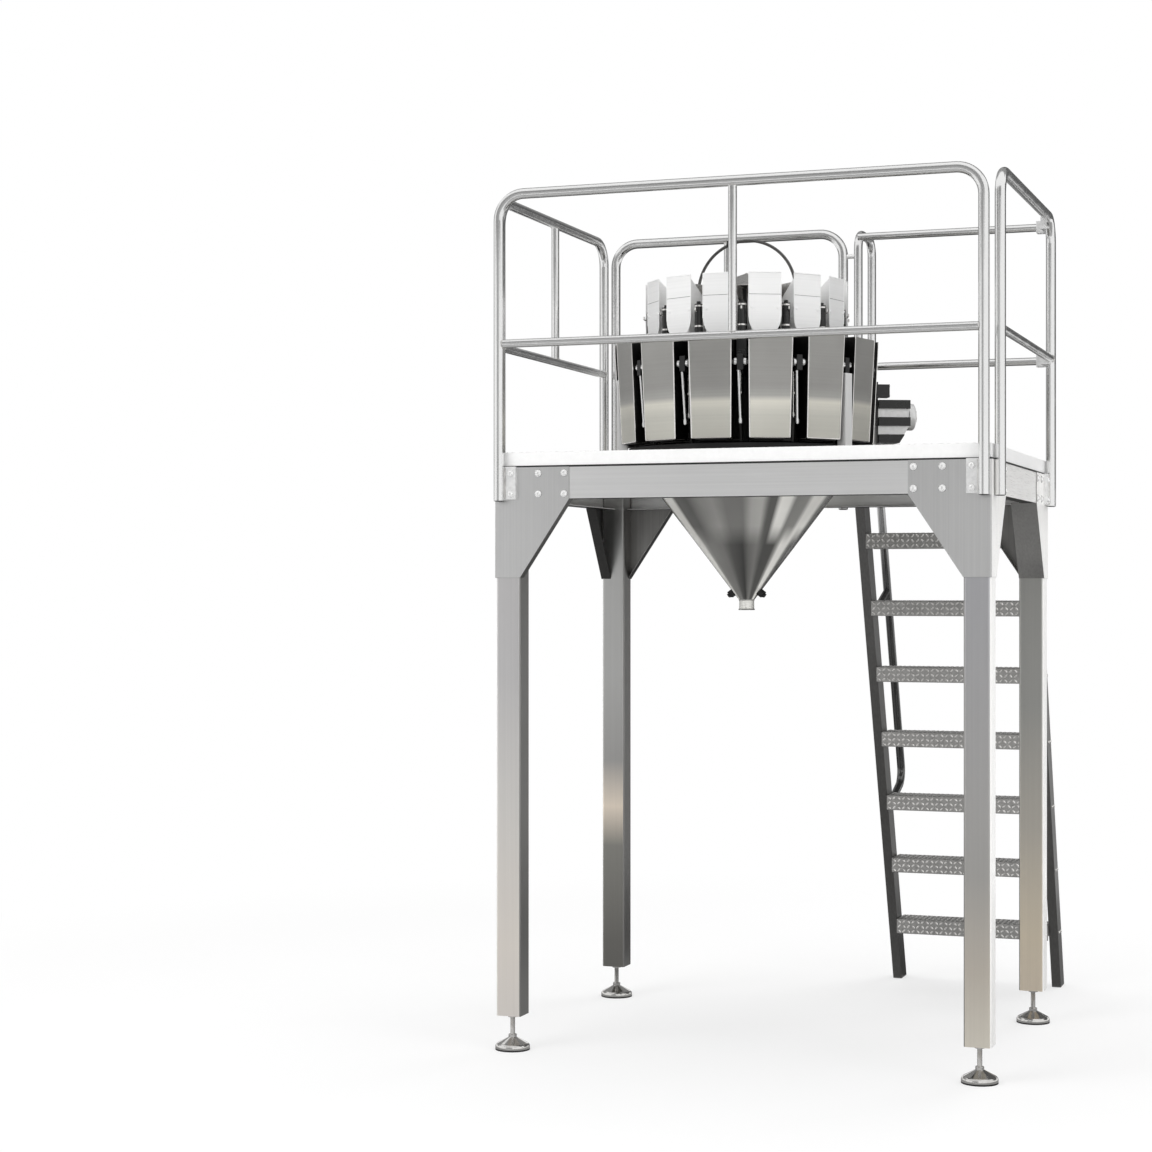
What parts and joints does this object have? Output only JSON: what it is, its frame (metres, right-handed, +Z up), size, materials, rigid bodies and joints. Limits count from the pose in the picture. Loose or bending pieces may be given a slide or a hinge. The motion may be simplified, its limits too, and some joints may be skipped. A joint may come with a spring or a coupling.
{
  "type": "multihead weigher on a working platform",
  "caption": "Multihead weigher with rings of feed and weigh hoppers on a stainless working platform with guard rails, stair and discharge chute.",
  "frame": {"origin": "on the floor, at the middle of the whole object's floor area", "axes": "+X to the right of the front guard, +Y towards the stair at the back, +Z up"},
  "size_m": [1.9858, 2.3055, 3.3],
  "materials": {
    "frame_steel": "satin brushed stainless steel",
    "edge_steel": "bright brushed stainless steel",
    "tread_plate": "raised lozenge plate",
    "tube_steel": "polished stainless tube",
    "fitting_steel": "bright machined stainless steel",
    "hopper_sheet": "fine brushed stainless sheet",
    "chute_steel": "polished stainless sheet",
    "dark_housing": "black satin",
    "rubber": "matt black rubber"
  },
  "bodies": {
    "root": {"leg_front_left": "frame_steel", "leg_front_right": "frame_steel", "leg_rear_left": "frame_steel", "leg_rear_right": "frame_steel", "beam_front": "frame_steel", "beam_rear": "frame_steel", "beam_left": "frame_steel", "beam_right": "frame_steel", "knees_front_left": "frame_steel", "knees_front_right": "frame_steel", "knees_rear_left": "frame_steel", "knees_rear_right": "frame_steel", "deck_joists": "frame_steel", "stair_stringer_left": "frame_steel", "stair_stringer_right": "frame_steel", "deck_edges": "edge_steel", "deck_panels": "tread_plate", "stair_treads": "tread_plate", "guard_front": "tube_steel", "guard_left": "tube_steel", "guard_right": "tube_steel", "guard_rear": "tube_steel", "stair_head_bars": "tube_steel", "stair_handrail": "tube_steel", "arch": "tube_steel", "guard_brackets": "fitting_steel", "levelling_feet": "fitting_steel", "hopper_links": "fitting_steel", "weigher_columns": "fitting_steel", "weigh_hopper_ends": "hopper_sheet", "weigh_hopper_sides": "hopper_sheet", "weigh_hopper_gates": "hopper_sheet", "feed_hopper_ends": "hopper_sheet", "feed_hopper_sides": "hopper_sheet", "feed_hopper_gates": "hopper_sheet", "feeder_pans": "hopper_sheet", "top_cone": "hopper_sheet", "discharge_chute": "chute_steel", "weigher_drum": "dark_housing", "gate_drives": "dark_housing", "hanger_arms": "dark_housing", "gate_actuators": "dark_housing", "vibrators": "dark_housing", "power_unit": "dark_housing", "level_sensor": "dark_housing", "foot_rubbers": "rubber", "chute_collar": "rubber"}
  },
  "joints": []
}
